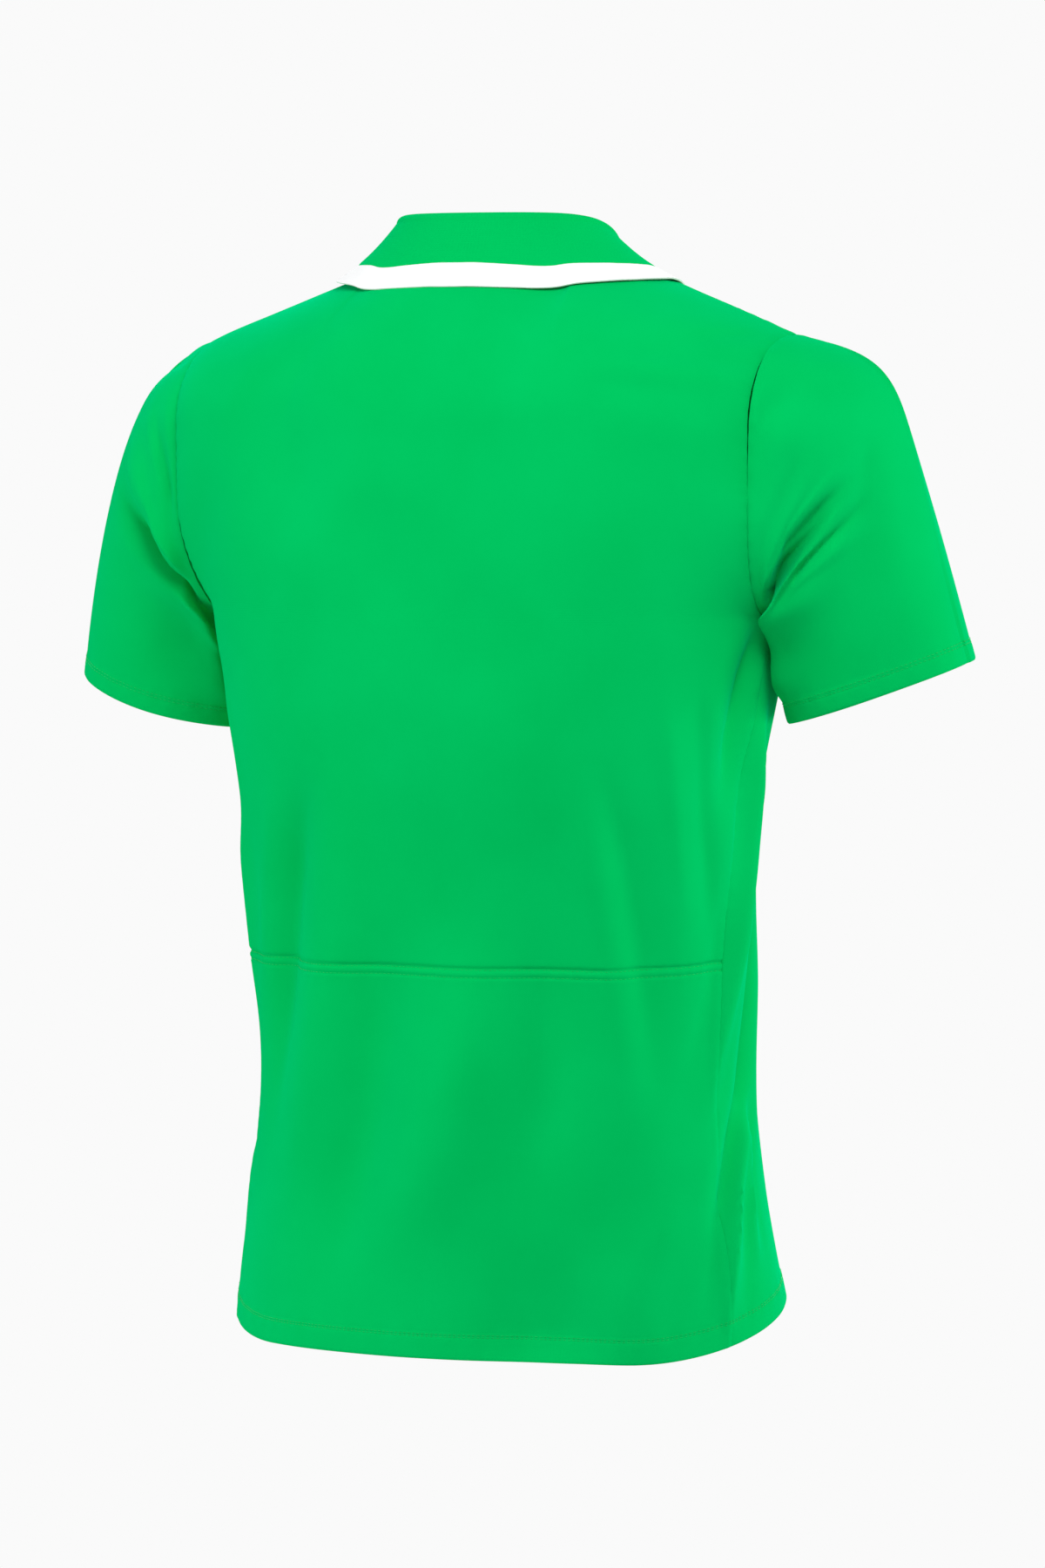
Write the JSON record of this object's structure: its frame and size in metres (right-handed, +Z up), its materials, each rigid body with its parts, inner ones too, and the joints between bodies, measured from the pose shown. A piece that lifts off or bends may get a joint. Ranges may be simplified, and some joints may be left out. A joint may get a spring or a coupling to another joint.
{
  "type": "polo shirt",
  "caption": "Short-sleeved polo shirt in green knit, worn and hollow, with a folded collar edged in white and a buttoned front placket.",
  "frame": {"origin": "on the centre plane of the shirt, level with the neck points, where the wearer's shoulders carry it", "axes": "+Z up from hem to collar, the wearer faces -Y, +X is the wearer's left"},
  "size_m": [0.6569, 0.2687, 0.7516],
  "materials": {
    "green_knit": "fine smooth polyester jersey, bright green, soft sheen",
    "green_rib": "flat-knitted ribbed collar cloth, bright green",
    "white_rib": "flat-knitted ribbed band, white",
    "button": "green four-hole shirt button, glossy"
  },
  "bodies": {
    "root": {"back_lower": "green_knit", "back_upper": "green_knit", "front": "green_knit", "sleeve_left": "green_knit", "sleeve_right": "green_knit", "collar": "green_rib", "collar_border": "white_rib", "placket_under": "green_knit", "placket_over": "green_knit", "button_1": "button", "button_2": "button", "button_3": "button"}
  },
  "joints": []
}
